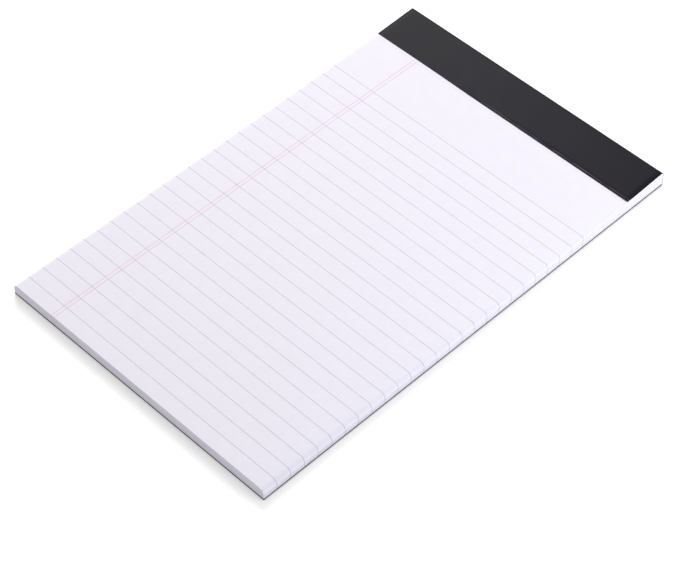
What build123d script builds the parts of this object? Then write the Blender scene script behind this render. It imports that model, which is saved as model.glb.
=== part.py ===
from build123d import *
import os

# Legal pad: a block of perforated sheets on a chipboard back, stitched and taped at the head.
# Millimetres. The pad lies on its back at z = 0: +X is the reader's right, +Y the head, +Z up.

# Overall size of the trimmed pad, over the tape
pad_width = 127.0
pad_length = 203.2

# Sheets: each is thicker at its perforation, by the burr that the teeth leave, and more so at the
# stitched head, so the block swells towards the head
sheet_count = 50
sheet_thickness = 0.085
perforation_burr = 0.014
head_burr = 0.034

# Long edges of the top sheets roll over: hardly below the tape, and more towards the foot
edge_roll_at_tape = 0.4
edge_roll_at_middle = 1.8
edge_roll_at_foot = 2.1

# Chipboard back
board_thickness = 0.8

# Binding tape: paper, folded over the head and pressed flush into the back of the soft board
tape_thickness = 0.15
tape_front_flap = 20.5
tape_back_flap = 20.0
front_fold_radius = 1.5
back_fold_radius = 0.4

# Staples of flat wire, driven through the stub under the tape and clinched at the back.
# Wire beds as deep as it is thick, in the top sheets and in the board, so the tape lies flat over it.
staple_count = 2
staple_spacing = 64.0
staple_from_head = 8.0
crown_length = 12.7
clinch_length = 4.0
wire_width = 0.6
wire_thickness = 0.45
wire_bend_radius = 0.4
wire_slack = 0.05

# Heights and places that follow from these
head_end = pad_length / 2 - tape_thickness
foot_end = -pad_length / 2
tape_front_edge = pad_length / 2 - tape_front_flap
tape_back_edge = pad_length / 2 - tape_back_flap
head_top = board_thickness + sheet_count * (sheet_thickness + head_burr)
perforation_top = board_thickness + sheet_count * (sheet_thickness + perforation_burr)
foot_top = board_thickness + sheet_count * sheet_thickness
stub_slope = (head_top - perforation_top) / (head_end - tape_front_edge)
staple_y = pad_length / 2 - staple_from_head
crown_top = head_top - stub_slope * (head_end - staple_y + wire_width / 2)


def across_pad(profile):
    """A side profile, drawn as (y, z), made as wide as the pad."""
    return extrude(Plane.YZ * profile, amount=pad_width / 2, both=True)


def band(line, inside, outside):
    """The strip between two standoffs of a bent line."""
    inner = line(inside)
    outer = line(outside)
    start = Line(inner @ 0, outer @ 0)
    end = Line(inner @ 1, outer @ 1)
    return make_face([*inner.edges(), *outer.edges(), start, end])


def tape_line(standoff):
    """The tape's path round the head, at a standoff from the paper and board that it is glued to."""
    return FilletPolyline(
        (tape_front_edge, perforation_top + standoff),
        (head_end + standoff, head_top + standoff * (1 + stub_slope)),
        (head_end + standoff, tape_thickness - standoff),
        (tape_back_edge, tape_thickness - standoff),
        radius=[front_fold_radius + standoff, back_fold_radius + standoff],
    )


def staple_line(standoff):
    """A staple's path, as (x, z), at a standoff from what it holds: clinch, leg, crown, leg, clinch."""
    tip = crown_length / 2 - clinch_length
    leg = crown_length / 2 - wire_thickness + standoff
    crown = crown_top - wire_thickness + standoff
    clinch = tape_thickness + wire_thickness - standoff
    return FilletPolyline(
        (-tip, clinch),
        (-leg, clinch),
        (-leg, crown),
        (leg, crown),
        (leg, clinch),
        (tip, clinch),
        radius=wire_bend_radius + standoff,
    )


def make_staples(slack):
    """The staples, or with some slack, the holes and grooves that they make in the sheets and the board."""
    wire = band(staple_line, -slack, wire_thickness + slack)
    staple = extrude(Plane.XZ * wire, amount=wire_width / 2 + slack, both=True)
    first = -staple_spacing * (staple_count - 1) / 2
    return [Pos(first + number * staple_spacing, staple_y, 0) * staple for number in range(staple_count)]


def make_binding_tape():
    return across_pad(band(tape_line, 0, tape_thickness))


def make_backing_board():
    outline = FilletPolyline(
        (foot_end, 0),
        (tape_back_edge, 0),
        (tape_back_edge, tape_thickness),
        (head_end, tape_thickness),
        (head_end, board_thickness),
        (foot_end, board_thickness),
        radius=[0, 0, 0, back_fold_radius, 0, 0],
        close=True,
    )
    return across_pad(make_face(outline.edges())) - make_staples(wire_slack)


def sheet_section(y, top, edge_roll):
    """Cross-section of the stacked sheets at y, with rolled top corners."""
    height = top - board_thickness
    section = Pos(0, board_thickness + height / 2) * Rectangle(pad_width, height)
    section = fillet(section.vertices().group_by(Axis.Y)[-1], edge_roll)
    return Plane(origin=(0, y, 0), x_dir=(1, 0, 0), z_dir=(0, -1, 0)) * section


def make_sheet_block():
    stub_outline = FilletPolyline(
        (tape_front_edge, board_thickness),
        (head_end, board_thickness),
        (head_end, head_top),
        (tape_front_edge, perforation_top),
        radius=[0, 0, front_fold_radius, 0],
        close=True,
    )
    stub = across_pad(make_face(stub_outline.edges()))
    middle = (tape_front_edge + foot_end) / 2
    leaves = loft(
        [
            sheet_section(tape_front_edge, perforation_top, edge_roll_at_tape),
            sheet_section(middle, (perforation_top + foot_top) / 2, edge_roll_at_middle),
            sheet_section(foot_end, foot_top, edge_roll_at_foot),
        ]
    )
    return stub + leaves - make_staples(wire_slack)


nodes = {
    "backing_board": make_backing_board(),
    "sheet_block": make_sheet_block(),
    "binding_tape": make_binding_tape(),
    "staples": Compound(children=make_staples(slack=0)),
}

os.makedirs("parts", exist_ok=True)
for name, shape in nodes.items():
    export_step(shape, f"parts/{name}.step")
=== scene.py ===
import math
import random

import bpy
from mathutils import Matrix, Vector, noise


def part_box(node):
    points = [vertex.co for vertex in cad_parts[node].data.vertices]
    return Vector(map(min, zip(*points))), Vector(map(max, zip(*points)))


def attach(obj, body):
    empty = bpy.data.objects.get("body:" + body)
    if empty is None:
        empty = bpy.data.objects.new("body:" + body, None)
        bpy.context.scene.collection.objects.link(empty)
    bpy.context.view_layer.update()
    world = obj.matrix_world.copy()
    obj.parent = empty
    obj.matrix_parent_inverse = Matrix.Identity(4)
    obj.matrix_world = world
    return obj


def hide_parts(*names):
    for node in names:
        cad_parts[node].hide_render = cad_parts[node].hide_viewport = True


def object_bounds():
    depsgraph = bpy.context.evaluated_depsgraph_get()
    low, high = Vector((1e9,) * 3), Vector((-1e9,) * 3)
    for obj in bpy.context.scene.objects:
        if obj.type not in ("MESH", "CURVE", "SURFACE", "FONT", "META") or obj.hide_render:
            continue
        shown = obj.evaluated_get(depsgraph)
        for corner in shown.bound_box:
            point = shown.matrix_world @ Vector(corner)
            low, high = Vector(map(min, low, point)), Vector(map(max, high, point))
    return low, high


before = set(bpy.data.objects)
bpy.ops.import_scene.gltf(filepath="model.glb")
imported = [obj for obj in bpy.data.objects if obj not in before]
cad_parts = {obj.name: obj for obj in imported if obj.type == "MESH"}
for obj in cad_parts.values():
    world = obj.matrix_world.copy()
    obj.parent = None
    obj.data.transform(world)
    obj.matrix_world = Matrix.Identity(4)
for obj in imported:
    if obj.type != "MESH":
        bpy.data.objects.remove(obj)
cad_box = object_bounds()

# Backing board: one rectangle of grey chipboard, pressed from pulped waste paper and cut with the pad.
# The sheets lie on it, and its back is what rests on the desk. Its cut edges get painted shade.
mm = 0.001
white = (1, 1, 1, 1)
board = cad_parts["backing_board"]
board_roughness = 0.92
board_shine = 0.25
board_grey = (0.30, 0.29, 0.275, 1)
board_pale = (0.355, 0.345, 0.325, 1)
board_cloud_size = 7 * mm
board_cloud_span = (0.3, 0.7)
board_fleck = (0.17, 0.165, 0.16, 1)
board_fleck_size = 0.75 * mm
board_fleck_stretch = (1.4, 1, 1)
board_fleck_span = (0.28, 0.37)
board_fibre = (0.86, 0.855, 0.85, 1)
board_fibre_size = 0.4 * mm
board_fibre_stretch = (2.5, 1, 0.4)
board_fibre_span = (0.35, 0.6)
board_tooth = 0.035 * mm
board_edge_shade = (0.42, 0.42, 0.42, 1)
board_edge_span = (0.3, 0.8)


def start_finish(name, roughness, shine):
    """A bare finish: the material, its node tree, its shader and the piece's own coordinates."""
    finish = bpy.data.materials.new(name)
    finish.use_nodes = True
    tree = finish.node_tree
    shader = tree.nodes["Principled BSDF"]
    shader.inputs["Roughness"].default_value = roughness
    shader.inputs["Specular IOR Level"].default_value = shine
    place = tree.nodes.new("ShaderNodeTexCoord").outputs["Object"]
    return finish, tree, shader, place


def speckle(tree, place, size, detail, stretch=(1, 1, 1)):
    """Noise from 0 to 1 with marks of about the given size, drawn out by a factor along each axis."""
    mapping = tree.nodes.new("ShaderNodeMapping")
    mapping.inputs["Scale"].default_value = [1 / (size * factor) for factor in stretch]
    tree.links.new(place, mapping.inputs["Vector"])
    cloud = tree.nodes.new("ShaderNodeTexNoise")
    cloud.inputs["Scale"].default_value = 1.0
    cloud.inputs["Detail"].default_value = detail
    tree.links.new(mapping.outputs["Vector"], cloud.inputs["Vector"])
    return cloud.outputs["Fac"]


def tint(tree, amount, span, low, high):
    """Turns an amount into a colour: low before a span of amounts, high after it, and a blend within it."""
    ramp = tree.nodes.new("ShaderNodeValToRGB")
    for stop, position, colour in zip(ramp.color_ramp.elements, span, (low, high)):
        stop.position = position
        stop.color = colour
    tree.links.new(amount, ramp.inputs["Fac"])
    return ramp.outputs["Color"]


def multiply_colours(tree, first, second):
    """Lays one colour over another, as ink on paper."""
    mix = tree.nodes.new("ShaderNodeMix")
    mix.data_type = "RGBA"
    mix.blend_type = "MULTIPLY"
    mix.inputs["Factor"].default_value = 1.0
    tree.links.new(first, mix.inputs["A"])
    tree.links.new(second, mix.inputs["B"])
    return mix.outputs["Result"]


def emboss(tree, shader, height, depth):
    """Raises the surface by a 0 to 1 height times a depth."""
    bump = tree.nodes.new("ShaderNodeBump")
    bump.inputs["Distance"].default_value = depth
    tree.links.new(height, bump.inputs["Height"])
    tree.links.new(bump.outputs["Normal"], shader.inputs["Normal"])


def grey_chipboard():
    """Clouded grey pulp with dark flecks and a tooth of fibres, and painted shade on its cut edges."""
    finish, tree, shader, place = start_finish("grey_chipboard", board_roughness, board_shine)
    clouds = speckle(tree, place, board_cloud_size, detail=4)
    flecks = speckle(tree, place, board_fleck_size, detail=3, stretch=board_fleck_stretch)
    fibres = speckle(tree, place, board_fibre_size, detail=4, stretch=board_fibre_stretch)
    facing = tree.nodes.new("ShaderNodeSeparateXYZ")
    tree.links.new(tree.nodes.new("ShaderNodeNewGeometry").outputs["Normal"], facing.inputs["Vector"])
    flatness = tree.nodes.new("ShaderNodeMath")
    flatness.operation = "ABSOLUTE"
    tree.links.new(facing.outputs["Z"], flatness.inputs[0])
    fleck_shade = [dark / pale for dark, pale in zip(board_fleck, board_grey)]
    # The last layer is a painted shade, darker the more a face stands upright, as on the cut edges.
    layers = [
        tint(tree, flecks, board_fleck_span, fleck_shade, white),
        tint(tree, fibres, board_fibre_span, board_fibre, white),
        tint(tree, flatness.outputs["Value"], board_edge_span, board_edge_shade, white),
    ]
    colour = tint(tree, clouds, board_cloud_span, board_grey, board_pale)
    for layer in layers:
        colour = multiply_colours(tree, colour, layer)
    tree.links.new(colour, shader.inputs["Base Color"])
    emboss(tree, shader, fibres, board_tooth)
    return finish


board.data.materials[0] = grey_chipboard()


# Sheets: fifty leaves of thin white bond paper, ruled in blue-grey with a double pink margin on the left.
# A fine perforation crosses them below the stub. They are trimmed as one block, and the top leaves roll
# over along both long edges. The block swells towards the head, where it is stitched and the tape folds.
sheet_low, sheet_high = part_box("sheet_block")
half_width = sheet_high.x
foot_y = sheet_low.y
head_y = sheet_high.y
stub_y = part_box("binding_tape")[0].y
board_top = sheet_low.z
sheet_count = 50
foot_leaf = 0.085 * mm
stub_leaf = 0.099 * mm
head_leaf = 0.119 * mm
fold_radius = 1.5 * mm
roll_at_foot = 2.1 * mm
roll_at_middle = 1.8 * mm
roll_at_stub = 0.4 * mm
roll_under_tape = 0.04 * mm
roll_fade = 1 * mm

rule_count = 25
rule_pitch = 6.35 * mm
first_rule = 44.8 * mm
rule_width = 0.24 * mm
margin_width = 0.3 * mm
margin_places = (20.3 * mm, 21.8 * mm)
perforation_place = 1.1 * mm
perforation_width = 0.14 * mm

# The perforation's row is cut into steps in two goes. Every second step is a slit, apart from the ends.
# The slits are flat faces in a painted shade, which stands in for the dark of the cuts.
slit_cuts = (12, 26)
slit_steps = math.prod(cuts + 1 for cuts in slit_cuts)
plain_steps = 6

# These rows and columns let the front cockle, the long edges roll, the head round over and the leaves slip.
column_count = 16
header_rows = 4
header_pitch = 5 * mm
stub_rows = (0, roll_fade, 9 * mm)
fold_steps = 6
roll_steps = 6
leaf_cuts = (0, 0.25, 0.75)
cut_precision = 1e-7

foot_stack = sheet_count * foot_leaf
stub_stack = sheet_count * stub_leaf
head_stack = sheet_count * head_leaf
stub_slope = (head_stack - stub_stack) / (head_y - stub_y)
fold_y = head_y - fold_radius
rule_places = [cad_box[1].y - first_rule - number * rule_pitch for number in range(rule_count)]
margin_lines = [place - half_width for place in margin_places]
perforation_y = stub_y - perforation_place
across = Vector((1, 0, 0))
along = Vector((0, 1, 0))
upward = Vector((0, 0, 1))


def cut_across(direction, places):
    """Cuts the piece that is in edit mode right through, square to a direction, at places along it."""
    for place in places:
        bpy.ops.mesh.select_all(action="SELECT")
        bpy.ops.mesh.bisect(plane_co=direction * place, plane_no=direction, threshold=cut_precision)


def pick_edges(piece, test):
    """Selects the edges, in edit mode, whose two ends pass a test of their places."""
    bpy.ops.object.mode_set(mode="EDIT")
    bpy.ops.mesh.select_mode(type="EDGE")
    bpy.ops.mesh.select_all(action="DESELECT")
    bpy.ops.object.mode_set(mode="OBJECT")
    corners = piece.data.vertices
    for edge in piece.data.edges:
        edge.select = test(*(corners[number].co for number in edge.vertices))
    bpy.ops.object.mode_set(mode="EDIT")


def both_sides(places, width):
    """The two borders of a line of some width, for each line."""
    return [place + side * width / 2 for place in places for side in (-1, 1)]


def arc_lines(radius, steps):
    """How far in from a rounded edge the even steps of its quarter round lie."""
    return [radius * (1 - math.sin(math.pi / 2 * step / steps)) for step in range(steps)]


def along_slits(one, other):
    """Whether an edge runs along the perforation, on the top sheet."""
    on_border = abs(abs(one.y - perforation_y) - perforation_width / 2) < cut_precision
    on_top = min(one.z, other.z) > board_top + head_stack / 2
    return on_border and on_top and abs(one.y - other.y) < cut_precision


bpy.ops.object.select_all(action="DESELECT")
block_middle = (0, (foot_y + head_y) / 2, board_top + head_stack / 2)
bpy.ops.mesh.primitive_cube_add(size=1, calc_uvs=False, location=block_middle)
sheets = bpy.context.active_object
sheets.name = "ruled_sheets"
sheets.scale = (2 * half_width, head_y - foot_y, head_stack)
bpy.ops.object.transform_apply(location=True, rotation=False, scale=True)

leaf_levels = [leaf + part for leaf in range(sheet_count) for part in leaf_cuts if leaf + part > 0]
leaf_places = [board_top + head_stack * level / sheet_count for level in leaf_levels]
between_rules = [place + rule_pitch / 2 for place in rule_places]
header_places = [stub_y - row * header_pitch for row in range(1, header_rows + 1)]
stub_places = [stub_y + row for row in stub_rows]
fold_places = [head_y - line for line in arc_lines(fold_radius, fold_steps)]
inner_width = half_width - roll_at_foot
column_places = [inner_width * (2 * column / column_count - 1) for column in range(1, column_count)]
roll_lines = arc_lines(roll_at_foot, roll_steps)
roll_places = [side * (half_width - line) for line in roll_lines for side in (-1, 1)]

bpy.ops.object.mode_set(mode="EDIT")
cut_across(along, both_sides([perforation_y], perforation_width))
for cuts in slit_cuts:
    pick_edges(sheets, along_slits)
    bpy.ops.mesh.subdivide(number_cuts=cuts)
cut_across(upward, leaf_places)
cut_across(along, both_sides(rule_places, rule_width))
cut_across(along, between_rules + header_places + stub_places + fold_places)
cut_across(across, both_sides(margin_lines, margin_width))
cut_across(across, column_places + roll_places)
bpy.ops.object.mode_set(mode="OBJECT")

# The front and the print are toothed paper, and the trimmed sides show the edges of the leaves as streaks.
paper_roughness = 0.9
paper_shine = 0.3
paper_white = (0.905, 0.886, 0.985, 1)
paper_shade = (0.892, 0.872, 0.972, 1)
paper_cloud_size = 5 * mm
paper_cloud_span = (0.35, 0.65)
paper_fibre_size = 0.22 * mm
paper_fibre_stretch = (1.6, 1, 1)
paper_tooth = 0.012 * mm
rule_ink = (0.598, 0.573, 0.696, 1)
margin_ink = (0.893, 0.625, 0.838, 1)
perforation_shade = (0.62, 0.61, 0.66, 1)
print_unevenness = 0.07
edge_roughness = 0.95
edge_shine = 0.2
edge_white = (0.895, 0.875, 0.965, 1)
edge_shade = (0.83, 0.81, 0.895, 1)
edge_grain = 0.07 * mm
edge_streak_stretch = (60, 60, 1)
edge_streak_span = (0.3, 0.55)
edge_tooth_stretch = (9, 9, 1)
edge_tooth = 0.03 * mm


def bond_paper(name, light, dark):
    """Uncoated paper: faint clouds in its colour and a fine tooth of fibres."""
    finish, tree, shader, place = start_finish(name, paper_roughness, paper_shine)
    clouds = speckle(tree, place, paper_cloud_size, detail=5)
    fibres = speckle(tree, place, paper_fibre_size, detail=4, stretch=paper_fibre_stretch)
    colour = tint(tree, clouds, paper_cloud_span, dark, light)
    tree.links.new(colour, shader.inputs["Base Color"])
    emboss(tree, shader, fibres, paper_tooth)
    return finish


def print_on_paper(name, ink):
    """Paper with the colour of a printed line, or with the painted shade of a slit, a little uneven."""
    return bond_paper(name, ink, [(1 - print_unevenness) * part for part in ink[:3]] + [1])


def trimmed_edges():
    """The cut edges of the stacked leaves: streaks about one leaf thick, drawn out along the block."""
    finish, tree, shader, place = start_finish("trimmed_edges", edge_roughness, edge_shine)
    streaks = speckle(tree, place, edge_grain, detail=3, stretch=edge_streak_stretch)
    tooth = speckle(tree, place, edge_grain, detail=2, stretch=edge_tooth_stretch)
    colour = tint(tree, streaks, edge_streak_span, edge_shade, edge_white)
    tree.links.new(colour, shader.inputs["Base Color"])
    emboss(tree, shader, tooth, edge_tooth)
    return finish


PAPER, EDGES, RULE, MARGIN, SLITS = range(5)
sheets.data.materials.append(bond_paper("bond_paper", paper_white, paper_shade))
sheets.data.materials.append(trimmed_edges())
sheets.data.materials.append(print_on_paper("rule_ink", rule_ink))
sheets.data.materials.append(print_on_paper("margin_ink", margin_ink))
# The slits' colour is a painted shade, for the dark in the cuts.
sheets.data.materials.append(print_on_paper("perforation_slit_shade", perforation_shade))

# The rules run off the sheets, so each leaf shows the end of each rule at its side, apart from a few.
leaf_seed = 50
worn_tick_share = 0.08
worn_ticks = set()
random.seed(leaf_seed)
for rule in range(rule_count):
    for leaf in range(sheet_count):
        if random.random() < worn_tick_share:
            worn_ticks.add((rule, leaf))


def leaf_at(z):
    """Number of the leaf at a height in the block, before it is settled."""
    return min(sheet_count - 1, int((z - board_top) / head_stack * sheet_count))


def ink_at(middle, on_top):
    """What a face of the block shows: a rule, a margin line, a slit, bare paper or the edges of leaves."""
    for rule, place in enumerate(rule_places):
        if abs(middle.y - place) < rule_width / 2:
            if on_top or (rule, leaf_at(middle.z)) not in worn_ticks:
                return RULE
    if min(abs(middle.x - line) for line in margin_lines) < margin_width / 2 and middle.y < stub_y:
        return MARGIN
    if not on_top:
        return EDGES
    step = int((middle.x / half_width + 1) / 2 * slit_steps)
    in_row = abs(middle.y - perforation_y) < perforation_width / 2
    is_slit = step % 2 and min(step, slit_steps - 1 - step) > plain_steps
    return SLITS if in_row and is_slit else PAPER


for face in sheets.data.polygons:
    face.material_index = ink_at(face.center, round(face.normal.z) == 1)

# Map for a baked copy of the block, where the front and each trimmed side have a field of their own.
# A printed line is thinner than a pixel of that map, so its faces lie on one spot in its ink's field.
side_fields = {
    (0, 0, 1): ((0.01, 0.01), (0.60, 0.99)),
    (-1, 0, 0): ((0.62, 0.01), (0.70, 0.99)),
    (1, 0, 0): ((0.72, 0.01), (0.80, 0.99)),
    (0, -1, 0): ((0.93, 0.01), (0.99, 0.99)),
    (0, 1, 0): ((0.82, 0.90), (0.91, 0.99)),
    (0, 0, -1): ((0.82, 0.78), (0.91, 0.88)),
}
ink_fields = {
    RULE: ((0.82, 0.01), (0.91, 0.24)),
    MARGIN: ((0.82, 0.26), (0.91, 0.50)),
    SLITS: ((0.82, 0.52), (0.91, 0.76)),
}
ink_spot = 0.012
inks_laid = set()
block_low = Vector((-half_width, foot_y, board_top))
block_high = Vector((half_width, head_y, board_top + head_stack))
axes_short_to_long = (2, 0, 1)
baking_map = sheets.data.uv_layers.new(name="OFBake")


def field_of(face, facing):
    """The part of the map for a face: its side's, or its ink's, which the first face of that ink fills."""
    ink = face.material_index
    if ink not in ink_fields:
        return side_fields[facing]
    if ink not in inks_laid:
        inks_laid.add(ink)
        return ink_fields[ink]
    middle = [(start + end) / 2 for start, end in zip(*ink_fields[ink])]
    return [place - ink_spot / 2 for place in middle], [place + ink_spot / 2 for place in middle]


def lay_on_map(face):
    """Lays a face on its field of the map, with the block's longer way up the field."""
    corners = [sheets.data.vertices[number].co for number in face.vertices]
    facing = tuple(round(part) for part in face.normal)
    low, high = field_of(face, facing)
    spread = corners if face.material_index in ink_fields else (block_low, block_high)
    flat_axes = [axis for axis in axes_short_to_long if not facing[axis]]
    for way, axis in enumerate(flat_axes):
        start = min(place[axis] for place in spread)
        length = max(place[axis] for place in spread) - start
        for number, corner in zip(face.loop_indices, corners):
            share = (corner[axis] - start) / length
            baking_map.uv[number].vector[way] = low[way] + (high[way] - low[way]) * share


for face in sheets.data.polygons:
    lay_on_map(face)

# Each leaf lies a little to one side, shorter or turned, as the block slips when it is handled.
# Below the stub nothing holds the leaves flat, so they cockle a little in damp air.
leaf_stagger = 0.05 * mm
leaf_groove = 0.02 * mm
leaf_precision = 0.01
rule_stagger = 0.05 * mm
held_by_stub = 1 * mm
cockle_height = 0.07 * mm
cockle_size = 34 * mm
cockle_edge_fade = 8 * mm
cockle_stub_fade = 12 * mm
block_smoothing = math.radians(32)
side_slips = [random.uniform(-1, 1) * leaf_stagger for leaf in range(sheet_count)]
turn_slips = [random.uniform(-1, 1) * leaf_stagger / head_y for leaf in range(sheet_count)]
foot_slips = [random.uniform(0, 1) * leaf_stagger for leaf in range(sheet_count)]
rule_slips = [random.uniform(-1, 1) * rule_stagger for leaf in range(sheet_count)]


def edge_roll(y):
    """Radius of the rolled long edges at y: hardly any at the stub, and most near the foot."""
    if y > stub_y:
        return max(roll_under_tape, roll_at_stub * (1 - (y - stub_y) / roll_fade))
    way = (stub_y - y) / (stub_y - foot_y)
    bend = 2 * (roll_at_stub - 2 * roll_at_middle + roll_at_foot)
    return roll_at_stub + (roll_at_foot - roll_at_stub - bend) * way + bend * way ** 2


def stack_height(y):
    """Thickness of all the sheets at y, with the rounded fold at the head."""
    if y <= stub_y:
        return foot_stack + (stub_stack - foot_stack) * (y - foot_y) / (stub_y - foot_y)
    slant = math.sqrt(1 + stub_slope ** 2)
    if y <= fold_y - fold_radius * stub_slope / slant:
        return stub_stack + stub_slope * (y - stub_y)
    fold_height = stub_stack + stub_slope * (fold_y - stub_y) - fold_radius * slant
    return fold_height + math.sqrt(max(0, fold_radius ** 2 - (y - fold_y) ** 2))


def cockle_at(x, y, from_edge):
    """How far the front stands up or down in low cockles, which fade towards the edges and the stub."""
    if y >= stub_y:
        return 0
    fade = min(1, from_edge / cockle_edge_fade) * min(1, (stub_y - y) / cockle_stub_fade)
    return cockle_height * noise.noise(Vector((x, y, 0)) / cockle_size) * fade


def settle(corner):
    """Where a corner of the cut block goes: onto its leaf, down the rolled edges and back from the trim."""
    x, y, z = corner
    level = (z - board_top) / head_stack * sheet_count
    nearest = round(level)
    in_groove = abs(level - nearest) < leaf_precision and 0 < nearest < sheet_count
    leaves = (nearest - 1, nearest) if in_groove else (leaf_at(z),)
    groove = leaf_groove if in_groove else 0

    roll = edge_roll(y)
    from_edge = half_width - abs(x)
    drop = 0
    if from_edge < roll_at_foot - cut_precision:
        from_edge *= roll / roll_at_foot
        drop = roll - math.sqrt(max(0, roll ** 2 - (roll - from_edge) ** 2))
    side = math.copysign(1, x)
    on_foot = y < foot_y + cut_precision
    if abs(x) > half_width - cut_precision:
        slips = [side * (side_slips[leaf] + turn_slips[leaf] * y) / 2 for leaf in leaves]
        from_edge = leaf_stagger + max(slips) + groove
        if not on_foot and y < stub_y - held_by_stub:
            y += sum(rule_slips[leaf] for leaf in leaves) / len(leaves)
    if on_foot:
        y += max(foot_slips[leaf] for leaf in leaves) + groove
    height = level / sheet_count * (stack_height(corner.y) - drop + cockle_at(x, y, from_edge))
    return Vector((side * (half_width - from_edge), y, board_top + height))


for corner in sheets.data.vertices:
    corner.co = settle(corner.co)
bpy.ops.object.shade_smooth_by_angle(angle=block_smoothing)
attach(sheets, "root")
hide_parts("sheet_block")


# Staples: two flat steel wires with a zinc coat, driven through the stub and clinched at the board's back.
# The tape covers their crowns and their clinched ends.
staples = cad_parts["staples"]
wire_roughness = 0.38
wire_shine = 0.5
zinc_light = (0.62, 0.62, 0.63, 1)
zinc_dark = (0.44, 0.44, 0.46, 1)
zinc_patch_size = 1.2 * mm
zinc_patch_span = (0.35, 0.65)
drawn_line_size = 0.06 * mm
drawn_line_stretch = (30, 1, 30)
drawn_line_depth = 0.008 * mm


def zinc_wire():
    """Drawn wire with a dull zinc coat: grey patches, and fine lines along the wire."""
    finish, tree, shader, place = start_finish("zinc_wire", wire_roughness, wire_shine)
    shader.inputs["Metallic"].default_value = 1.0
    patches = speckle(tree, place, zinc_patch_size, detail=4)
    drawn_lines = speckle(tree, place, drawn_line_size, detail=2, stretch=drawn_line_stretch)
    colour = tint(tree, patches, zinc_patch_span, zinc_dark, zinc_light)
    tree.links.new(colour, shader.inputs["Base Color"])
    emboss(tree, shader, drawn_lines, drawn_line_depth)
    return finish


staples.data.materials[0] = zinc_wire()


# Binding tape: one strip of black coated paper, glued over the front of the stub, round the head and onto
# the back of the board. Its cut ends are flush with the sides. Its front lip is creased and lifts a little
# towards the right-hand corner, where the glue has let go.
tape_back_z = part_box("binding_tape")[0].z
tape_thickness = 0.15 * mm
front_fold = fold_radius + tape_thickness
back_fold_radius = 0.4 * mm
back_fold = back_fold_radius + tape_thickness
back_flap = 20 * mm
tape_fold_steps = 10
lip_columns = 50
lip_rows = [row * mm for row in (0.3, 0.5, 1.2, 1.38, 1.6, 1.9, 2.4, 3.2, 4.5, 7, 10, 13, 16)]
pick_precision = 0.005 * mm
crest_place = 1.2 * mm
# Width of the strip on the crest that carries a painted highlight.
highlight_strip_width = 0.34 * mm

tape_angle = math.atan(stub_slope)
flap_low_z = board_top + stub_stack + tape_thickness
flat_end_y = fold_y - front_fold * math.sin(tape_angle)
flat_end_z = flap_low_z + stub_slope * (flat_end_y - stub_y)
front_centre = Vector((0, fold_y, flat_end_z - front_fold * math.cos(tape_angle)))
front_turn = math.pi / 2 + tape_angle
spine_y = fold_y + front_fold
back_centre = Vector((0, spine_y - back_fold, tape_back_z + back_fold))
back_flap_y = cad_box[1].y - back_flap
highlight_strip_middle = stub_y + crest_place - highlight_strip_width

bpy.ops.object.select_all(action="DESELECT")
flap_middle = (0, (stub_y + flat_end_y) / 2, flap_low_z)
bpy.ops.mesh.primitive_plane_add(size=1, calc_uvs=False, location=flap_middle)
tape = bpy.context.active_object
tape.name = "folded_tape"
tape.scale = (2 * half_width, flat_end_y - stub_y, 1)
bpy.ops.object.transform_apply(location=True, rotation=False, scale=True)

pick_edges(tape, lambda one, other: min(one.y, other.y) > flat_end_y - cut_precision)
bpy.ops.transform.translate(value=(0, 0, flat_end_z - flap_low_z))
bpy.ops.mesh.spin(steps=tape_fold_steps, angle=front_turn, center=front_centre, axis=across)
pick_edges(tape, lambda one, other: min(one.y, other.y) > spine_y - pick_precision)
down_spine = (0, 0, back_centre.z - front_centre.z)
bpy.ops.mesh.extrude_region_move(TRANSFORM_OT_translate={"value": down_spine})
pick_edges(tape, lambda one, other: max(one.z, other.z) < back_centre.z + pick_precision)
bpy.ops.mesh.spin(steps=tape_fold_steps, angle=math.pi / 2, center=back_centre, axis=across)
pick_edges(tape, lambda one, other: max(one.z, other.z) < tape_back_z + pick_precision)
along_back = (0, back_flap_y - back_centre.y, 0)
bpy.ops.mesh.extrude_region_move(TRANSFORM_OT_translate={"value": along_back})
bpy.ops.mesh.select_all(action="SELECT")
bpy.ops.mesh.remove_doubles(threshold=cut_precision)
bpy.ops.mesh.normals_make_consistent(inside=False)
cut_across(across, [half_width * (2 * column / lip_columns - 1) for column in range(1, lip_columns)])
cut_across(along, [stub_y + row for row in lip_rows])
cut_across(along, both_sides([highlight_strip_middle], highlight_strip_width))
bpy.ops.object.mode_set(mode="OBJECT")

# The tape has a satin coat over a fine grain. It is a little paler where it is handled. On the crest of the
# crease behind the lip, a grey strip is a painted highlight.
tape_roughness = 0.34
tape_shine = 0.055
tape_glossy = (0.31, 0.31, 0.31, 1)
tape_dull = (0.38, 0.38, 0.38, 1)
tape_gloss_span = (0.3, 0.7)
tape_black = (0.0090, 0.0078, 0.0134, 1)
tape_worn = (0.0118, 0.0104, 0.0168, 1)
tape_mark_span = (0.35, 0.7)
tape_cloud_size = 9 * mm
tape_grain_size = 0.35 * mm
tape_grain_depth = 0.006 * mm
# Grey of the painted highlight on the crest of the crease.
crest_highlight_grey = (0.105, 0.102, 0.112, 1)
highlight_mark_size = 1.6 * mm
highlight_mark_stretch = (4, 1, 1)
crest_start = -12.7 * mm


def coated_black_paper(name, dark, light, mark_size, stretch=(1, 1, 1)):
    """Black paper with a satin coat: a fine grain under it, and paler, duller marks of some size."""
    finish, tree, shader, place = start_finish(name, tape_roughness, tape_shine)
    marks = speckle(tree, place, mark_size, detail=5, stretch=stretch)
    grain = speckle(tree, place, tape_grain_size, detail=4)
    colour = tint(tree, marks, tape_mark_span, dark, light)
    gloss = tint(tree, marks, tape_gloss_span, tape_glossy, tape_dull)
    tree.links.new(colour, shader.inputs["Base Color"])
    tree.links.new(gloss, shader.inputs["Roughness"])
    emboss(tree, shader, grain, tape_grain_depth)
    return finish


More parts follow.
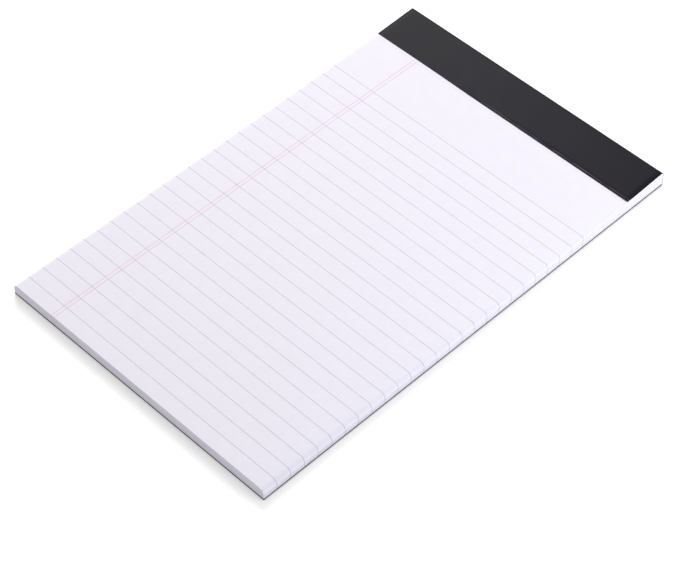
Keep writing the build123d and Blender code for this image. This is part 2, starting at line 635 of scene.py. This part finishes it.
plain_coat = coated_black_paper("coated_black_paper", tape_black, tape_worn, tape_cloud_size)
crest_highlight_coat = coated_black_paper("painted_crest_highlight", tape_worn, crest_highlight_grey, highlight_mark_size, highlight_mark_stretch)
tape.data.materials.append(plain_coat)
tape.data.materials.append(crest_highlight_coat)
# The strip on the crest, from its start on the left, takes the painted highlight.
for face in tape.data.polygons:
    on_front = face.center.z > flap_low_z - cut_precision
    on_highlight_strip = on_front and abs(face.center.y - highlight_strip_middle) < highlight_strip_width / 2
    face.material_index = int(on_highlight_strip and face.center.x > crest_start)

# The flap lies in low waves, and its front edge is not quite straight. Its crease starts left of the
# middle and runs on to the loose corner on the right.
wave_size = 17 * mm
wave_height = 0.03 * mm
wave_level = 7 * mm
wave_fade = 4 * mm
lip_bow = 0.24 * mm
lip_bow_start = 10 * mm
lip_bow_end = 35 * mm
lip_ripple = 0.06 * mm
lip_ripple_size = 13 * mm
lip_ripple_row = 3
lip_straight = 4 * mm
crest_full = 8 * mm
crest_spread = 0.38 * mm
crest_height = 0.17 * mm
crest_unevenness = 0.2
crest_uneven_size = 11 * mm
highlight_strip_taper = 14 * mm
highlight_strip_point = 0.06
corner_lift = 0.22 * mm
corner_lift_width = 9 * mm
corner_lift_depth = 4 * mm
cut_softness = 0.035 * mm
cut_angle = math.radians(50)
tape_smoothing = math.radians(40)


def smooth_step(value, start, end):
    """0 before start, 1 after end, and a soft slope between them."""
    way = min(1, max(0, (value - start) / (end - start)))
    return way * way * (3 - 2 * way)


def ripple(place):
    """Smooth unevenness from 0 to 1, the same at a place in every run."""
    return 0.5 + 0.5 * noise.noise(place)


def wander_of_lip(x):
    """How far the front edge lies back from a straight cut: bowed on the left, and a little uneven."""
    bow = lip_bow * smooth_step(-x, lip_bow_start, lip_bow_end)
    return bow + lip_ripple * ripple(Vector((x / lip_ripple_size, lip_ripple_row, 0)))


def pinch_of_highlight_strip(x, y):
    """How far a border of the painted highlight strip moves in, where the strip tapers to a point at its
    start.
    """
    from_middle = y - highlight_strip_middle
    if abs(abs(from_middle) - highlight_strip_width / 2) > cut_precision:
        return 0
    return -from_middle * (1 - max(highlight_strip_point, smooth_step(abs(x - crest_start), 0, highlight_strip_taper)))


def lift_of_flap(x, y):
    """How far the front flap stands off the stub at a place: its waves, its crease and its loose corner."""
    from_lip = y - stub_y
    wave = wave_height * ripple(Vector((x, y, wave_level)) / wave_size)
    wave *= smooth_step(flat_end_y - y, 0, wave_fade)
    crest = crest_height * math.exp(-((from_lip - crest_place) / crest_spread) ** 2)
    crest *= smooth_step(x, crest_start, crest_full)
    crest *= 1 - crest_unevenness * (1 - noise.noise(Vector((x / crest_uneven_size, 0, 0))))
    loose = corner_lift * smooth_step(x, half_width - corner_lift_width, half_width)
    loose *= smooth_step(-from_lip, -corner_lift_depth, 0)
    return wave + crest + loose


for corner in tape.data.vertices:
    if corner.co.z > flap_low_z - cut_precision and corner.co.y < flat_end_y + cut_precision:
        corner.co.y += pinch_of_highlight_strip(corner.co.x, corner.co.y)
        back = wander_of_lip(corner.co.x) * (1 - smooth_step(corner.co.y - stub_y, 0, lip_straight))
        lift = lift_of_flap(corner.co.x, corner.co.y) + stub_slope * back
        corner.co += Vector((0, back, lift))
thicken = tape.modifiers.new("paper_thickness", "SOLIDIFY")
thicken.thickness = tape_thickness
thicken.offset = -1
thicken.use_even_offset = True
bpy.ops.object.modifier_apply(modifier=thicken.name)
soften = tape.modifiers.new("cut_edges", "BEVEL")
soften.width = cut_softness
soften.segments = 2
soften.limit_method = "ANGLE"
soften.angle_limit = cut_angle
bpy.ops.object.modifier_apply(modifier=soften.name)
bpy.ops.object.shade_smooth_by_angle(angle=tape_smoothing)
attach(tape, "root")
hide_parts("binding_tape")


# Studio: a white table under an even white sky, with a soft, slightly warm lamp behind on the left and a
# small cool card low on the right. The table keeps the pad's soft shadow, and shows plain white to the
# camera and in gloss.
table_size = 6.0
table_gap = 0.02 * mm
table_white = (0.93, 0.93, 0.93, 1)
table_roughness = 0.9
table_shine = 0.1
near_glow = 0.3
far_glow = 0.62
glow_starts = 0.25
glow_ends = 1.0
sky_light = 0.495
sky_seen = 1.0
lamp_place = (-0.6, 0.45, 0.65)
lamp_aim = (0, head_y, 0)
lamp_size = (0.6, 0.6)
lamp_power = 6.6
lamp_colour = (1, 0.98, 0.945)
card_place = (0.3, 0.10, 0.09)
card_aim = (half_width, 0.2 * head_y, 0)
card_size = (0.25, 0.2)
card_power = 0.43
card_colour = (0.93, 0.95, 1)

bpy.ops.object.select_all(action="DESELECT")
bpy.ops.mesh.primitive_plane_add(size=table_size, location=(0, 0, cad_box[0].z - table_gap))
table = bpy.context.active_object
table.name = "table"


def seen_directly(tree):
    """1 for what the camera sees, straight, in gloss or through glass, and 0 for what lights the pad."""
    path = tree.nodes.new("ShaderNodeLightPath")
    total = path.outputs["Is Camera Ray"]
    for ray in ("Is Glossy Ray", "Is Transmission Ray"):
        join = tree.nodes.new("ShaderNodeMath")
        join.operation = "MAXIMUM"
        tree.links.new(total, join.inputs[0])
        tree.links.new(path.outputs[ray], join.inputs[1])
        total = join.outputs["Value"]
    return total


def white_table():
    """Matt white laminate, lifted to plain white where it is seen, and more so far from the pad."""
    finish, tree, shader, place = start_finish("white_table", table_roughness, table_shine)
    shader.inputs["Base Color"].default_value = table_white
    shader.inputs["Emission Color"].default_value = white
    distance = tree.nodes.new("ShaderNodeVectorMath")
    distance.operation = "LENGTH"
    tree.links.new(place, distance.inputs[0])
    spread = tree.nodes.new("ShaderNodeMapRange")
    spread.inputs["From Min"].default_value = glow_starts
    spread.inputs["From Max"].default_value = glow_ends
    spread.inputs["To Min"].default_value = near_glow
    spread.inputs["To Max"].default_value = far_glow
    tree.links.new(distance.outputs["Value"], spread.inputs["Value"])
    glow = tree.nodes.new("ShaderNodeMath")
    glow.operation = "MULTIPLY"
    tree.links.new(seen_directly(tree), glow.inputs[0])
    tree.links.new(spread.outputs["Result"], glow.inputs[1])
    tree.links.new(glow.outputs["Value"], shader.inputs["Emission Strength"])
    return finish


table.data.materials.append(white_table())

sky = bpy.data.worlds.new("white_sky")
sky.use_nodes = True
backdrop = sky.node_tree.nodes["Background"]
backdrop.inputs["Color"].default_value = white
brightness = sky.node_tree.nodes.new("ShaderNodeMapRange")
brightness.inputs["To Min"].default_value = sky_light
brightness.inputs["To Max"].default_value = sky_seen
sky.node_tree.links.new(seen_directly(sky.node_tree), brightness.inputs["Value"])
sky.node_tree.links.new(brightness.outputs["Result"], backdrop.inputs["Strength"])
bpy.context.scene.world = sky


def hang_lamp(name, place, aim, size, power, colour):
    """A soft rectangular lamp at a place, turned towards what it lights."""
    light = bpy.data.lights.new(name, "AREA")
    light.shape = "RECTANGLE"
    light.size, light.size_y = size
    light.energy = power
    light.color = colour
    lamp = bpy.data.objects.new(name, light)
    lamp.location = place
    lamp.rotation_euler = (Vector(aim) - Vector(place)).to_track_quat("-Z", "Y").to_euler()
    bpy.context.scene.collection.objects.link(lamp)


hang_lamp("window_lamp", lamp_place, lamp_aim, lamp_size, lamp_power, lamp_colour)
hang_lamp("side_card", card_place, card_aim, card_size, card_power, card_colour)


# Camera: a long lens above the near right-hand corner, looking down on the pad as in the photograph.
# Its place, its turn and its focal length in pixels were fitted to the outline of the pad there.
image_width = 679
focal_pixels = 2315
sensor_width = 36
eye = Vector((397.0, -402.0, 615.5)) * mm
azimuth = math.radians(44.86)
elevation = math.radians(48.69)
camera_roll = math.radians(0.23)

lens = bpy.data.cameras.new("camera")
lens.sensor_fit = "HORIZONTAL"
lens.sensor_width = sensor_width
lens.lens = sensor_width * focal_pixels / image_width
camera = bpy.data.objects.new("camera", lens)
level_forward = Vector((-math.sin(azimuth), math.cos(azimuth), 0))
forward = math.cos(elevation) * level_forward - math.sin(elevation) * upward
level_right = forward.cross(upward).normalized()
level_up = level_right.cross(forward)
right = math.cos(camera_roll) * level_right + math.sin(camera_roll) * level_up
up = math.cos(camera_roll) * level_up - math.sin(camera_roll) * level_right
camera.matrix_world = Matrix.Translation(eye) @ Matrix((right, up, -forward)).transposed().to_4x4()
bpy.context.scene.collection.objects.link(camera)
bpy.context.scene.camera = camera
bpy.context.scene.view_settings.view_transform = "Standard"
